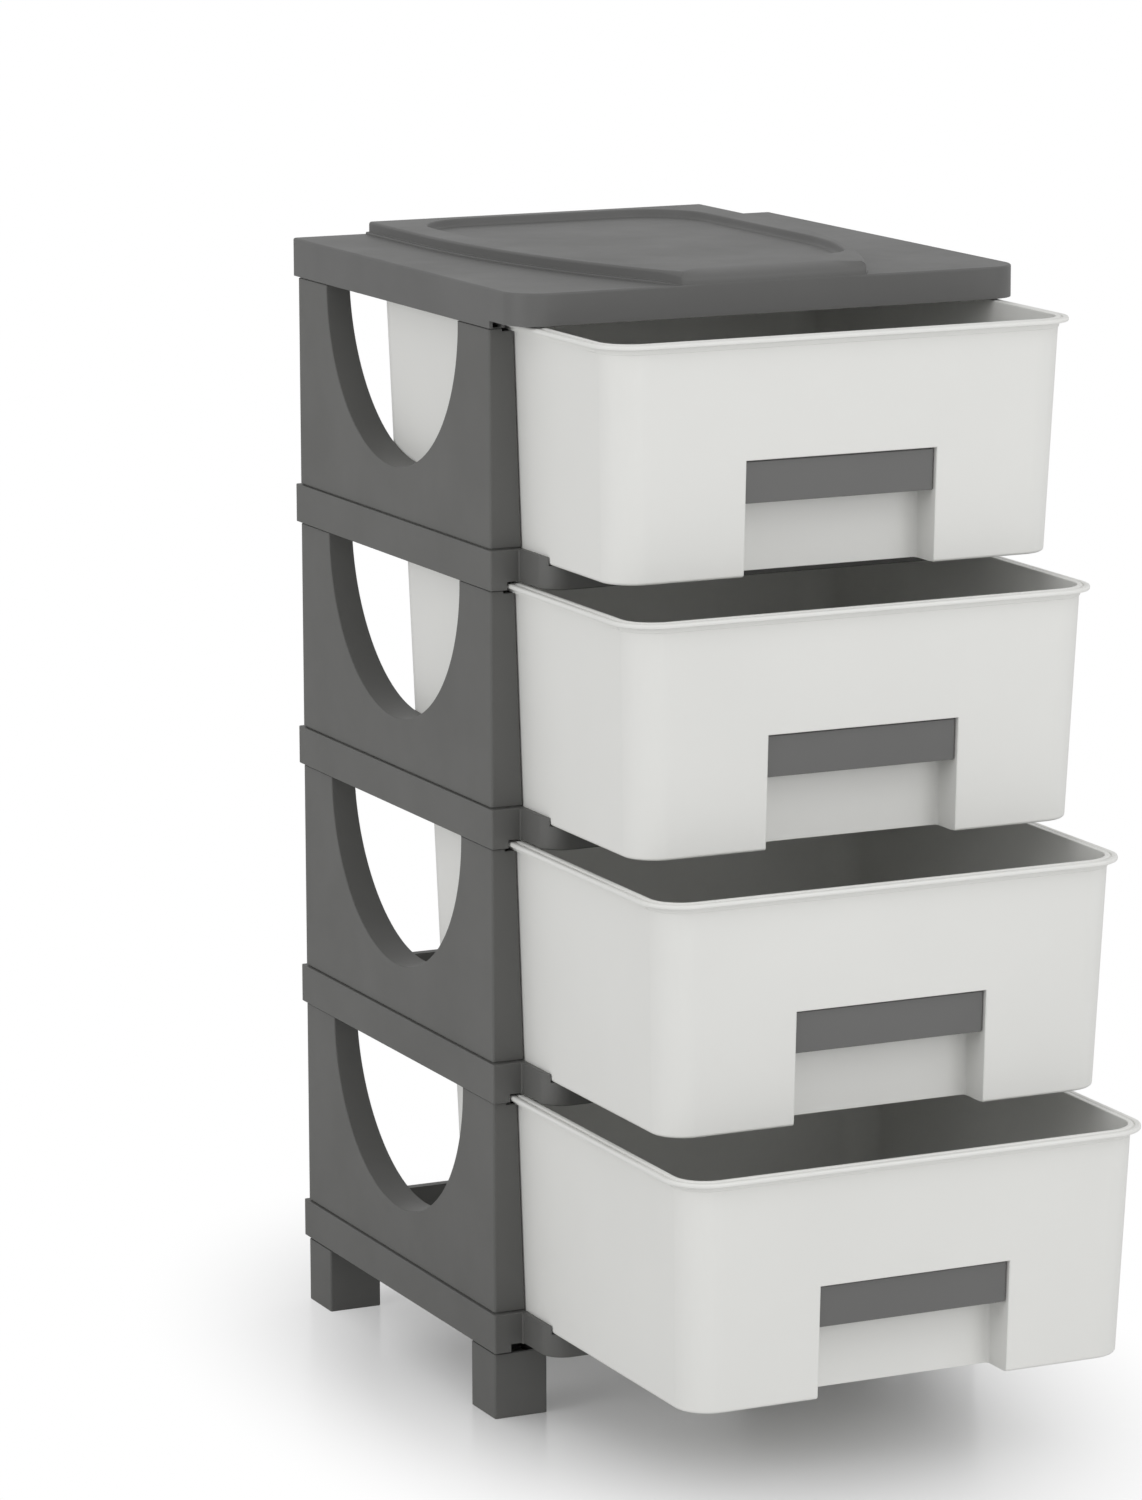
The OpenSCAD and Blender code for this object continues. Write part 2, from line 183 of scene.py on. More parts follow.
def moulded(name, dark, light, rough, grain, grain_depth, ripple_depth):
    """Moulded plastic: a fine texture, slow ripples from cooling, and a slight drift in colour."""
    mat = new_material(name)
    tree = mat.node_tree
    coords = add_node(tree, "TexCoord").outputs["Object"]

    def noise(scale, octaves, roughness=0.5):
        node = add_node(tree, "TexNoise", Vector=coords, Scale=scale, Detail=octaves,
                        Roughness=roughness)
        return node.outputs["Fac"]

    ramp = add_node(tree, "ValToRGB", Fac=noise(*COLOUR_DRIFT))
    for element, position, colour in zip(ramp.color_ramp.elements, NOISE_RANGE, (dark, light)):
        element.position = position
        element.color = colour
    spread = add_node(tree, "MapRange", Value=noise(*ROUGHNESS_DRIFT), From_Min=NOISE_RANGE[0],
                      From_Max=NOISE_RANGE[1], To_Min=rough + ROUGHNESS_RANGE[0],
                      To_Max=rough + ROUGHNESS_RANGE[1])
    texture = add_node(tree, "Bump", Strength=GRAIN_STRENGTH, Distance=grain_depth,
                       Height=noise(grain, GRAIN_OCTAVES))
    ripple = add_node(tree, "Bump", Strength=RIPPLE_STRENGTH, Distance=ripple_depth,
                      Height=noise(*RIPPLES), Normal=texture.outputs["Normal"])
    bsdf = add_node(tree, "BsdfPrincipled", Base_Color=ramp.outputs["Color"],
                    Roughness=spread.outputs["Result"], Specular_IOR_Level=PLASTIC_SPECULAR,
                    Normal=ripple.outputs["Normal"])
    add_node(tree, "OutputMaterial", Surface=bsdf.outputs[0])
    return mat


# Roughness, grains per metre, and the depths of grain and ripples in metres
TEXTURED = {"rough": 0.5, "grain": 1600, "grain_depth": 0.00008, "ripple_depth": 0.0006}
SATIN = {"rough": 0.42, "grain": 2200, "grain_depth": 0.00003, "ripple_depth": 0.0008}

SLOT_MATERIAL = {
    "tower_grey": moulded("tower_grey_plastic", rgb(92, 92, 90), rgb(97, 97, 95), **TEXTURED),
    "lid_grey": moulded("lid_grey_plastic", rgb(95, 95, 94), rgb(100, 100, 99), **TEXTURED),
    "drawer_white": moulded("drawer_white_plastic", rgb(225, 225, 222), rgb(229, 229, 226), **SATIN),
    "grip_grey": moulded("grip_grey_plastic", rgb(101, 101, 100), rgb(106, 106, 105), **TEXTURED),
}
SLOT = {row["node"]: row["material_slot"] for row in frame["record"]["subparts"]}
BODY = {}
for body, members in frame["record"]["behaviour"]["bodies"].items():
    for member in members:
        BODY[member] = body

# ------------------------------------------------------------------ mesh tools
# Vertices closer than WELD and rings closer in height than LEVEL count as one, in metres
WELD = 2e-6
LEVEL = 1e-7
# Edges sharper than these, in degrees, are rounded where asked and are kept sharp in the shading
ROUND_ANGLE = 32
SHARP_ANGLE = 40
# The least radius of a post's upright edges, in mm
LEAST_POST_R = 0.15
# How far a cutter runs past the faces that it cuts, and where it has more room, in mm
PAST = 1.0
WELL_PAST = 5.0
# A point this near to a face or an arc counts as on it, in mm
NEAR = 0.1


def new_object(name, bm):
    """An object from a bmesh whose coordinates are in the row frame."""
    bmesh.ops.recalc_face_normals(bm, faces=bm.faces)
    mesh = bpy.data.meshes.new(name)
    bm.to_mesh(mesh)
    bm.free()
    obj = bpy.data.objects.new(name, mesh)
    scene.collection.objects.link(obj)
    return obj


def discard(obj):
    bpy.data.meshes.remove(obj.data)


def copy_of(obj):
    bm = bmesh.new()
    bm.from_mesh(obj.data)
    return bm


def ring_at(points, z):
    """Points (x, y) at the height z, in the row frame."""
    return [place(x, y, z) for x, y in points]


def loft(rings, fill_above=None):
    """A closed solid from rings with the same number of points, capped at both ends.

    Two rings on one level above the height fill_above, in mm, are joined by triangles, because
    their points don't match; all others are joined point by point.
    """
    bm = bmesh.new()
    made = [[bm.verts.new(p) for p in ring] for ring in rings]
    n = len(rings[0])
    for lower, upper in zip(made, made[1:]):
        height = lower[0].co.z
        high = fill_above is not None and height > fill_above * MM
        if high and abs(height - upper[0].co.z) < LEVEL:
            pairs = [(ring[i], ring[(i + 1) % n]) for ring in (lower, upper) for i in range(n)]
            edges = [bm.edges.get(pair) or bm.edges.new(pair) for pair in pairs]
            bmesh.ops.triangle_fill(bm, edges=edges, use_beauty=True)
            continue
        for i in range(n):
            j = (i + 1) % n
            bm.faces.new((lower[i], lower[j], upper[j], upper[i]))
    bm.faces.new(made[0])
    bm.faces.new(made[-1])
    return bm


def prism(points, z0, z1):
    """An upright solid with the outline that the points (x, y) give."""
    return loft([ring_at(points, z) for z in (z0, z1)])


def block(x0, x1, y0, y1, z0, z1):
    return prism([(x0, y0), (x1, y0), (x1, y1), (x0, y1)], z0, z1)


def side_block(side, near, far, y0, y1, z0, z1):
    """A block between two distances from the middle, to the left for side -1, the right for 1."""
    x0, x1 = sorted((side * near, side * far))
    return block(x0, x1, y0, y1, z0, z1)


def combine(obj, bm, operation):
    """Applies an exact boolean of the object with a solid."""
    other = new_object("cutter", bm)
    mod = obj.modifiers.new("solid", "BOOLEAN")
    mod.operation = operation
    mod.solver = "EXACT"
    mod.object = other
    bpy.context.view_layer.update()
    graph = bpy.context.evaluated_depsgraph_get()
    mesh = bpy.data.meshes.new_from_object(obj.evaluated_get(graph))
    obj.modifiers.clear()
    old = obj.data
    obj.data = mesh
    mesh.name = obj.name
    bpy.data.meshes.remove(old)
    discard(other)


def welded_copy(obj):
    bm = copy_of(obj)
    bmesh.ops.remove_doubles(bm, verts=bm.verts, dist=WELD)
    return bm


def is_sharp(edge, angle):
    return len(edge.link_faces) == 2 and edge.calc_face_angle(0) >= math.radians(angle)


def both(test):
    """A choice of the edges whose two ends pass a test."""
    return lambda p, q: test(p) and test(q)


def soften(obj, width, pick, segments=3):
    """Rounds the sharp edges that pick() chooses by their two ends, in tower coordinates."""
    bm = welded_copy(obj)
    chosen = []
    for e in bm.edges:
        ends = [(v.co.x / MM, v.co.y / MM + ORIGIN_Y, v.co.z / MM) for v in e.verts]
        if is_sharp(e, ROUND_ANGLE) and pick(*ends):
            chosen.append(e)
    bmesh.ops.bevel(bm, geom=chosen, offset=width * MM, segments=segments, profile=0.5,
                    affect="EDGES", clamp_overlap=False, offset_type="OFFSET")
    bm.to_mesh(obj.data)
    bm.free()


def smooth(obj):
    """Smooth shading that keeps the sharp edges, with normals led by the large faces."""
    bm = welded_copy(obj)
    for f in bm.faces:
        f.smooth = True
    for e in bm.edges:
        e.smooth = len(e.link_faces) == 2 and not is_sharp(e, SHARP_ANGLE)
    bm.to_mesh(obj.data)
    bm.free()
    mod = obj.modifiers.new("weighted", "WEIGHTED_NORMAL")
    mod.keep_sharp = True
    mod.weight = 100


def quarter(steps):
    """Angles of a quarter turn."""
    return [math.radians(90 * i / steps) for i in range(steps + 1)]


def rounded_foot(z, r, steps=3):
    """Levels (height, inset) of a rounding that starts at the height z and widens upwards."""
    return [(z + r * (1 - math.cos(a)), r * (1 - math.sin(a))) for a in quarter(steps)]


def rounded_head(z, r, steps=3):
    """Levels (height, inset) of a rounding that narrows upwards and ends at the height z."""
    return [(z - r * (1 - math.sin(a)), r * (1 - math.cos(a))) for a in quarter(steps)]


def arc(cx, cy, r, start, end, steps):
    """Points on an arc, with its angles in degrees."""
    return [(cx + r * math.cos(math.radians(start + (end - start) * i / steps)),
             cy + r * math.sin(math.radians(start + (end - start) * i / steps)))
            for i in range(steps + 1)]


def outline(half, y0, y1, r_front, r_back, steps):
    """Rectangle with round corners, as points (x, y), from the front left round by the right."""
    return (arc(-half + r_front, y0 + r_front, r_front, 180, 270, steps)
            + arc(half - r_front, y0 + r_front, r_front, 270, 360, steps)
            + arc(half - r_back, y1 - r_back, r_back, 0, 90, steps)
            + arc(-half + r_back, y1 - r_back, r_back, 90, 180, steps))


def post(x0, x1, y0, y1, r_up, levels):
    """An upright box with round edges whose sides step in as levels of height and inset say."""
    rings = []
    mid, half = (x0 + x1) / 2, (x1 - x0) / 2
    for z, inset in levels:
        r = max(r_up - inset, LEAST_POST_R)
        points = outline(half - inset, y0 + inset, y1 - inset, r, r, 5)
        rings.append(ring_at([(x + mid, y) for x, y in points], z))
    return loft(rings)


def rounded_box(x0, x1, y0, y1, z0, z1, r_up, r_flat):
    """A box with round upright edges and a smaller rounding round its ends."""
    return post(x0, x1, y0, y1, r_up, rounded_foot(z0, r_flat) + rounded_head(z1, r_flat))


def finish_piece(obj, node):
    """Gives a piece its material, hangs it on its body, and hides the part that it stands for."""
    obj.data.materials.clear()
    obj.data.materials.append(SLOT_MATERIAL[SLOT[node]])
    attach(obj, BODY[node])
    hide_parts(node)


def repeat(obj, node, name, shift, flip=False):
    """A copy of a finished shape for another node, moved by a shift in mm and mirrored if asked."""
    bm = copy_of(obj)
    if flip:
        bmesh.ops.scale(bm, vec=(-1, 1, 1), verts=bm.verts)
        bmesh.ops.reverse_faces(bm, faces=bm.faces)
    bmesh.ops.translate(bm, vec=Vector(shift) * MM, verts=bm.verts)
    mesh = bpy.data.meshes.new(name)
    bm.to_mesh(mesh)
    bm.free()
    new = bpy.data.objects.new(name, mesh)
    scene.collection.objects.link(new)
    smooth(new)
    finish_piece(new, node)


# ------------------------------------------------------------------ drawers
CORNER_STEPS = 12
BOTTOM_R = 2.2
INNER_R = 4.0
CREST_R = 0.9
# The rim's section from the band under it round to the inner crest: height and share of its width
RIM_SECTION = [(-3.4, 0.0), (-3.15, 0.06), (-2.7, 0.10), (-0.6, 0.12), (0.2, 0.16), (0.7, 0.26),
               (0.95, 0.40), (1.0, 0.88), (1.12, 0.955), (1.5, 0.995), (2.4, 1.0), (3.2, 0.985),
               (3.8, 0.93), (4.1, 0.84), (4.2, 0.70), (4.1, 0.50), (3.8, 0.42), (3.1, 0.38),
               (2.95, 0.33), (3.1, 0.28), (3.8, 0.24), (4.3, 0.19), (4.5, 0.12), (4.5, 0.03)]

# The strips under the rim that slide on the panels; their x is measured from TOP_HALF. At each
# end a strip is narrower: to which x, and over what length.
RUNNER_IN = -1.4
RUNNER_OUT = 2.4
RUNNER_LEAD = (0.6, 18.0)
RUNNER_TAIL = (1.6, 2.0)
RUNNER_Y = (-28.0, 328.0)
RUNNER_Z = (-2.7, 1.6)

POCKET_HALF = 75.0
POCKET_TOP = -82.4
POCKET_Y = -21.5
POCKET_R = 3.0
POCKET_MOUTH_Y = -90.0
POCKET_EDGE = 0.9
POCKET_FOOT_EDGE = 0.7

GRIP_FIT = 0.2
GRIP_H = 30.5
GRIP_SET = 3.0
GRIP_WALL = 3.0
GRIP_EDGE = 0.5
# A rebate round the grip's face: how deep, and how wide at its sides and top. The face hangs a
# little lower than the rest, and its part ends some way in front of the grip's back.
REBATE = 1.6
REBATE_W = 0.9
FACE_DROP = 0.6
FACE_TO_BACK = 6.0


def drawer_part(z):
    """The share of a drawer's height at z, from 0 at its bottom to 1 at its rim."""
    return (z - BOTTOM_Z) / (RIM_RISE - BOTTOM_Z)


def drawer_half(z):
    return TOP_HALF - SIDE_TAPER * (1 - drawer_part(z))


def drawer_front(z):
    return -BAY_REACH - FRONT_TAPER * drawer_part(z)


def drawer_back(z):
    return BACK_Y - BACK_TAPER * (1 - drawer_part(z))


def wall_ring(z, inset):
    """Ring of the drawer's wall at height z above the seam, drawn in by an inset."""
    r = DRAWER_R - inset
    return ring_at(outline(drawer_half(z) - inset, drawer_front(z) + inset, drawer_back(z) - inset,
                           r, r, CORNER_STEPS), z)


def rim_ring(z, share):
    """Ring between the wall, at share 0, and the rim's edge, at share 1."""
    out, back_out = RIM_W * share, RIM_BACK_W * share
    return ring_at(outline(drawer_half(z) + out, drawer_front(z) - out, drawer_back(z) + back_out,
                           DRAWER_R + out, DRAWER_R + back_out, CORNER_STEPS), z)


def pocket_solid(grow):
    """The hand pocket as a prism, grown by a margin, open at the front and below."""
    half, r = POCKET_HALF + grow, POCKET_R + grow
    back = POCKET_Y + grow
    points = [(-half, POCKET_MOUTH_Y), (half, POCKET_MOUTH_Y)]
    points += arc(half - r, back - r, r, 0, 90, 6) + arc(-half + r, back - r, r, 90, 180, 6)
    return prism(points, BOTTOM_Z - PAST, POCKET_TOP + grow)


def drawer_space():
    """The space inside a drawer, round the walls of its pocket."""
    levels = [(z, WALL + inset) for z, inset in rounded_foot(BOTTOM_Z + FLOOR_T, INNER_R, 4)]
    levels += [(z, WALL - inset) for z, inset in rounded_head(RIM_RISE, CREST_R)]
    rings = [wall_ring(z, inset) for z, inset in levels]
    rings.append([p + Vector((0, 0, 2 * PAST * MM)) for p in rings[-1]])
    space = new_object("space", loft(rings))
    combine(space, pocket_solid(WALL), "DIFFERENCE")
    bm = copy_of(space)
    discard(space)
    return bm


def runner(side):
    inner, outer = TOP_HALF + RUNNER_IN, TOP_HALF + RUNNER_OUT
    lead_x, lead_y = RUNNER_LEAD
    tail_x, tail_y = RUNNER_TAIL
    y0, y1 = RUNNER_Y
    plan = [(inner, y0), (TOP_HALF + lead_x, y0), (outer, y0 + lead_y), (outer, y1 - tail_y),
            (TOP_HALF + tail_x, y1), (inner, y1)]
    return prism([(side * x, y) for x, y in plan], *RUNNER_Z)


def make_drawer():
    """A closed drawer with its seam at z = 0."""
    rings = [wall_ring(z, inset) for z, inset in rounded_foot(BOTTOM_Z, BOTTOM_R, 5)]
    rings += [rim_ring(z, share) for z, share in RIM_SECTION]
    obj = new_object("drawer_shape", loft(rings))
    for side in (-1, 1):
        combine(obj, runner(side), "UNION")
    combine(obj, pocket_solid(0), "DIFFERENCE")
    combine(obj, drawer_space(), "DIFFERENCE")

    def in_width(v):
        return abs(v[0]) < POCKET_HALF + NEAR

    def at_mouth(v):
        return in_width(v) and v[1] < POCKET_Y - POCKET_R - 1 and v[2] < POCKET_TOP + NEAR

    def at_foot(v):
        return in_width(v) and -1 < v[1] - POCKET_Y < NEAR and v[2] < BOTTOM_Z + NEAR

    soften(obj, POCKET_EDGE, both(at_mouth))
    soften(obj, POCKET_FOOT_EDGE, both(at_foot), segments=2)
    return obj


def make_grip():
    """The grip bar of a closed drawer with its seam at z = 0."""
    z1 = POCKET_TOP - GRIP_FIT
    z0 = z1 - GRIP_H
    half = POCKET_HALF - GRIP_FIT
    back = POCKET_Y - GRIP_FIT

    def bar(behind, low, high, end, reach):
        """A bar from end to end, behind the grip's sloping face, and back as far as reach."""
        rings = []
        for x in (-end, end):
            rings.append([place(x, drawer_front(low) + GRIP_SET + behind, low),
                          place(x, drawer_front(high) + GRIP_SET + behind, high),
                          place(x, reach, high), place(x, reach, low)])
        return loft(rings)

    obj = new_object("grip_shape", bar(REBATE, z0 + FACE_DROP, z1, half, back))
    combine(obj, bar(0, z0, z1 - REBATE_W, half - REBATE_W, back - FACE_TO_BACK), "UNION")
    combine(obj, bar(GRIP_WALL, z0 - PAST, z1 - GRIP_WALL, half - GRIP_WALL, back + PAST),
            "DIFFERENCE")
    soften(obj, GRIP_EDGE, both(lambda v: v[1] < drawer_front(v[2]) + GRIP_SET + NEAR))
    return obj


# ------------------------------------------------------------------ frames, panels, feet
OPEN_HALF = drawer_half(-PANEL_H) + 0.8
OPEN_R = 13.2
OPEN_BACK_Y = DEPTH - 8.0
RAIL_T = 6.5
BAND_R = 1.2
BAND_EDGE = 0.6
BAY_HALF = OPEN_HALF + 3.8
BAY_R = 17.0
BAY_BACK_R = 1.0
BAY_BACK_Y = 20.0
BAY_FOOT_EDGE = 1.2
BAY_HEAD_EDGE = 0.8
BEAD_R = 1.0
# The notches under the band beside a bay: from the bay, past the channel, back and up
NOTCH_IN = 1.2
NOTCH_OUT = 0.5
NOTCH_Y = 14.0
NOTCH_TOP = BAY_LIFT + 0.6
# Where the cutters start that run out through the front, for the channels and for the rails
CHANNEL_CUT_Y = -60.0
RAIL_CUT_Y = -50.0

# Shadow gap at the ends of panels and feet: distance from the end and how far in
JOINT = [(0, 1.2), (0.8, 1.2), (0.85, 0.3), (1.2, 0)]
FOOT_JOINT = [(0, 1.3), (2.0, 1.3), (2.05, 0.3), (2.4, 0)]
# How much lower the gap at a panel's upper end lies
HEAD_JOINT = 0.2

# A panel's upright edges, outside and inside, its walls, and the ledge that a runner slides on
PANEL_R = 1.8
PANEL_INNER_R = 0.8
PANEL_WALL = 2.4
PANEL_TOP_T = 5.4
LEDGE_X = PANEL_X + 9.9
LEDGE_Z = -3.0
PAST_PANEL_X = -165.0
CUT_R = 120.0
CUT_Z = -1.5
CUT_EDGE = 0.9
CUT_STEPS = 72

FOOT_W = 42.0
FOOT_R = 1.6
FOOT_EDGE = 0.7
# The cells under a foot, and the hollow in its top
FOOT_WALL = 4.5
FOOT_CROSS = 3.0
CELL_ROOF = 15.0
CELL_R = 1.5
CELL_EDGE = 0.6
FOOT_LIP = 3.0
FOOT_HOLLOW = 12.0
HOLLOW_R = 2.0
HOLLOW_EDGE = 1.0
# The open corner at the top of a foot, where the channel of the lowest frame passes over it
CORNER_X = -CHANNEL_HALF - 1.1
CORNER_DROP = 2.2


def make_frame():
    """A ring frame with its lower face at z = 0."""
    obj = new_object("frame_shape", rounded_box(-HALF_W, HALF_W, 0, DEPTH, 0, BAND_H, BAND_R,
                                                BAND_EDGE))
    bay = []
    for z, inset in rounded_foot(BAY_LIFT, BAY_FOOT_EDGE) + rounded_head(BAND_H, BAY_HEAD_EDGE):
        points = outline(BAY_HALF - inset, -BAY_REACH + inset, BAY_BACK_Y, BAY_R - inset,
                         BAY_BACK_R, 10)
        bay.append(ring_at(points, z))
    combine(obj, loft(bay), "UNION")
    for side in (-1, 1):
        bead = arc(side * BAY_HALF, 0, BEAD_R, 0, 330, 11)
        combine(obj, prism(bead, BAY_LIFT - PAST, BAND_H - BAY_HEAD_EDGE), "UNION")
    # The hollow under the band, between its outer walls and its ribs
    for side in (-1, 1):
        for near, far in ((SKIRT, RIB_X), (RIB_X + RIB, HALF_W - OPEN_HALF - RIB)):
            hollow = side_block(side, HALF_W - near, HALF_W - far, SKIRT, DEPTH - SKIRT,
                                -PAST, BAND_H - WEB)
            combine(obj, hollow, "DIFFERENCE")
    rail_y = RAIL_T - BAY_REACH
    opening = outline(OPEN_HALF, rail_y, OPEN_BACK_Y, OPEN_R, OPEN_R, 10)
    combine(obj, prism(opening, -PAST, BAND_H + PAST), "DIFFERENCE")
    # The channel for the rims of the drawer below, with a notch at each side of its front
    combine(obj, block(-CHANNEL_HALF, CHANNEL_HALF, CHANNEL_CUT_Y, DEPTH - SKIRT, -PAST, BAY_LIFT),
            "DIFFERENCE")
    for side in (-1, 1):
        notch = side_block(side, BAY_HALF + NOTCH_IN, CHANNEL_HALF + NOTCH_OUT, -PAST, NOTCH_Y,
                           -PAST, NOTCH_TOP)
        combine(obj, notch, "DIFFERENCE")
    # The front rail is lower, so that the drawer above passes over it
    rail_top = BAND_H - DIP - SLIDE_GAP
    for half, back in ((HALF_W, rail_y), (OPEN_HALF, rail_y + OPEN_R)):
        combine(obj, block(-half, half, RAIL_CUT_Y, back, rail_top, BAND_H + PAST), "DIFFERENCE")
    return obj


def panel_ring(z, inset):
    inner = -drawer_half(z) - DRAWER_GAP
    x0, y0, y1 = PANEL_X + inset, POST_Y + inset, DEPTH - POST_Y - inset
    r, q = PANEL_R, PANEL_INNER_R
    points = (arc(x0 + r, y0 + r, r, 180, 270, 5) + arc(inner - q, y0 + q, q, 270, 360, 4)
              + arc(inner - q, y1 - q, q, 0, 90, 4) + arc(x0 + r, y1 - r, r, 90, 180, 5))
    return ring_at(points, z)


def cut_prism(grow):
    """The half-round cut-out of a left panel as a prism along x, with the seam at z = 0."""
    mid, r = DEPTH / 2, CUT_R + grow
    points = arc(mid, CUT_Z, r, 180, 360, CUT_STEPS) + [(mid + r, WELL_PAST), (mid - r, WELL_PAST)]
    return loft([[place(x, y, z) for y, z in points] for x in (-HALF_W - WELL_PAST, PAST_PANEL_X)])


def panel_space():
    """The space inside a panel, which is open to the drawer, round the walls of its cut-out."""
    space = new_object("space", block(PANEL_X + PANEL_WALL, PAST_PANEL_X, POST_Y + PANEL_WALL,
                                      DEPTH - POST_Y - PANEL_WALL, -PANEL_H + PANEL_WALL,
                                      -PANEL_TOP_T))
    combine(space, cut_prism(PANEL_WALL), "DIFFERENCE")
    bm = copy_of(space)
    discard(space)
    return bm


def make_panel():
    """A left side panel with the seam above it at z = 0."""
    levels = [(z - PANEL_H, inset) for z, inset in JOINT]
    levels += [(-z - HEAD_JOINT, inset) for z, inset in reversed(JOINT[1:])] + [(0, JOINT[0][1])]
    obj = new_object("panel_shape", loft([panel_ring(z, inset) for z, inset in levels]))
    combine(obj, cut_prism(0), "DIFFERENCE")
    combine(obj, panel_space(), "DIFFERENCE")
    combine(obj, block(LEDGE_X, PAST_PANEL_X, 0, DEPTH, LEDGE_Z, WELL_PAST), "DIFFERENCE")

    def on_cut(v):
        from_arc = math.hypot(v[1] - DEPTH / 2, v[2] - CUT_Z) - CUT_R
        return abs(from_arc) < NEAR and v[0] < PANEL_X + NEAR

    soften(obj, CUT_EDGE, both(on_cut))
    return obj


def make_foot():
    """The front left foot."""
    x0, y0 = PANEL_X, POST_Y
    x1, y1 = x0 + FOOT_W, y0 + FOOT_W
    levels = rounded_foot(0, FOOT_EDGE) + [(LEG_H - z, inset) for z, inset in reversed(FOOT_JOINT)]
    obj = new_object("foot_shape", post(x0, x1, y0, y1, FOOT_R, levels))
    cell = (FOOT_W - 2 * FOOT_WALL - FOOT_CROSS) / 2
    starts = (FOOT_WALL, FOOT_WALL + cell + FOOT_CROSS)
    for x in starts:
        for y in starts:
            combine(obj, rounded_box(x0 + x, x0 + x + cell, y0 + y, y0 + y + cell, -WELL_PAST,
                                     LEG_H - CELL_ROOF, CELL_R, CELL_EDGE), "DIFFERENCE")
    combine(obj, rounded_box(x0 + FOOT_LIP, x1 - FOOT_LIP, y0 + FOOT_LIP, y1 - FOOT_LIP,
                             LEG_H - FOOT_HOLLOW, LEG_H + WELL_PAST, HOLLOW_R, HOLLOW_EDGE),
            "DIFFERENCE")
    combine(obj, block(CORNER_X, x1 + PAST, y0 - PAST, y1 - FOOT_LIP, LEG_H - CORNER_DROP,
                       LEG_H + WELL_PAST), "DIFFERENCE")
    return obj


# ------------------------------------------------------------------ lid
# Every ring of the lid has the same number of points along its sides and round its corners
SIDE_POINTS = 24
FRONT_STEPS = 10
BACK_STEPS = 8
LID_R = 25.0
LID_BACK_R = 1.2
# The skirt's lower edge, as levels (inset, height), and the rounding at the top of the band
LID_FOOT = [(0.5, 0.0), (0.15, 0.15), (0.0, 0.5)]
LID_EDGE = 1.5
# The middle of the front isn't rounded: half its width and how far it leans back
FLUSH_HALF = 74.0
FLUSH_LEAN = 0.1
# The ribs start just above the lid's lower edge, stop short of the frames' front and back, and
# sink into the lid's web
LID_RIB_Z = 0.05
LID_RIB_END = 1.0
LID_RIB_SINK = 0.5
LID_FRONT_EDGE = 0.4
# A ring of points near the foot of the skirt's inner wall
SKIRT_RING_Z = 4.0

PLATEAU_H = 9.4
PLATEAU_HALF = 141.0
PLATEAU_FRONT = -47.2
PLATEAU_BACK = 357.2
PLATEAU_TURN = 264.0
PLATEAU_R = 750.0
PLATEAU_FRONT_R = 2.0
PLATEAU_BACK_R = 3.0
# The corners of an inset outline keep at least these radii
LEAST_FRONT_R = 0.8
LEAST_BACK_R = 0.4
# A low step round the plateau's foot: how far out and how high
STEP = [(2.6, 0.0), (2.56, 1.0), (2.3, 1.4), (1.8, 1.6), (0.6, 1.65), (0.12, 1.85), (0.0, 2.3)]
# The share of the step that is left along the front, and how far back it takes to reach its size
STEP_FRONT = 0.04
STEP_TURN = 14.0
# The plateau's upper edge: its height along the front and the sides, and how far from the front
# it changes; the front's is deeper than high, by an extra depth that grows from the corners
FRONT_ROLL = 7.0
SIDE_ROLL = 2.0
ROLL_TURN = 2.2
ROLL_DEPTH = 13.0
ROLL_GROWTH = 10.0

TRAY_D = 6.0
TRAY_HALF = 115.0
TRAY_FRONT = 10.5
TRAY_BACK = 344.0
TRAY_TURN = 132.0
TRAY_R = 276.0
TRAY_FRONT_R = 31.0
TRAY_BACK_R = 50.0
TRAY_LIP_R = 1.6
TRAY_FLOOR_R = 3.0
TRAY_TAPER = 0.6


def between(p, q, n):
    """Points evenly spaced between two, without the ends."""
    return [(p[0] + (q[0] - p[0]) * i / n, p[1] + (q[1] - p[1]) * i / n) for i in range(1, n)]


def mirrored_ring(front_corner, left_side, back_corner):
    """A ring from the left half's parts, which run from the back to the front, and their mirror."""
    left = back_corner + left_side + front_corner
    right = [(-x, y) for x, y in reversed(left)]
    front = between(left[-1], right[0], SIDE_POINTS)
    back = between(right[-1], left[0], SIDE_POINTS)
    return left + front + right + back


def lid_outline(inset):
    r, q = LID_R - inset, LID_BACK_R
    half, y0, y1 = HALF_W - inset, -BAY_REACH + inset, DEPTH - inset
    back = arc(-half + q, y1 - q, q, 90, 180, BACK_STEPS)
    front = arc(-half + r, y0 + r, r, 180, 270, FRONT_STEPS)
    return mirrored_ring(front, between(back[-1], front[0], SIDE_POINTS), back)


def curved_outline(half, y0, y1, turn, radius, r_front, r_back, inset):
    """Sides that run straight from the back as far as turn and then curve in towards the front."""
    half, radius, y0, y1 = half - inset, radius - inset, y0 + inset, y1 - inset
    q, r = max(r_back - inset, LEAST_BACK_R), max(r_front - inset, LEAST_FRONT_R)
    cx = radius - half
    px = cx - math.sqrt((radius - r) ** 2 - (turn - y0 - r) ** 2)
    start = math.degrees(math.atan2(y0 + r - turn, px - cx)) % 360
    back = arc(-half + q, y1 - q, q, 90, 180, BACK_STEPS)
    front = arc(px, y0 + r, r, start, 270, FRONT_STEPS)
    top, end = back[-1][1], front[0][1]
    side = []
    for i in range(1, SIDE_POINTS):
        y = top + (end - top) * i / SIDE_POINTS
        side.append((-half if y >= turn else cx - math.sqrt(radius ** 2 - (turn - y) ** 2), y))
    return mirrored_ring(front, side, back)


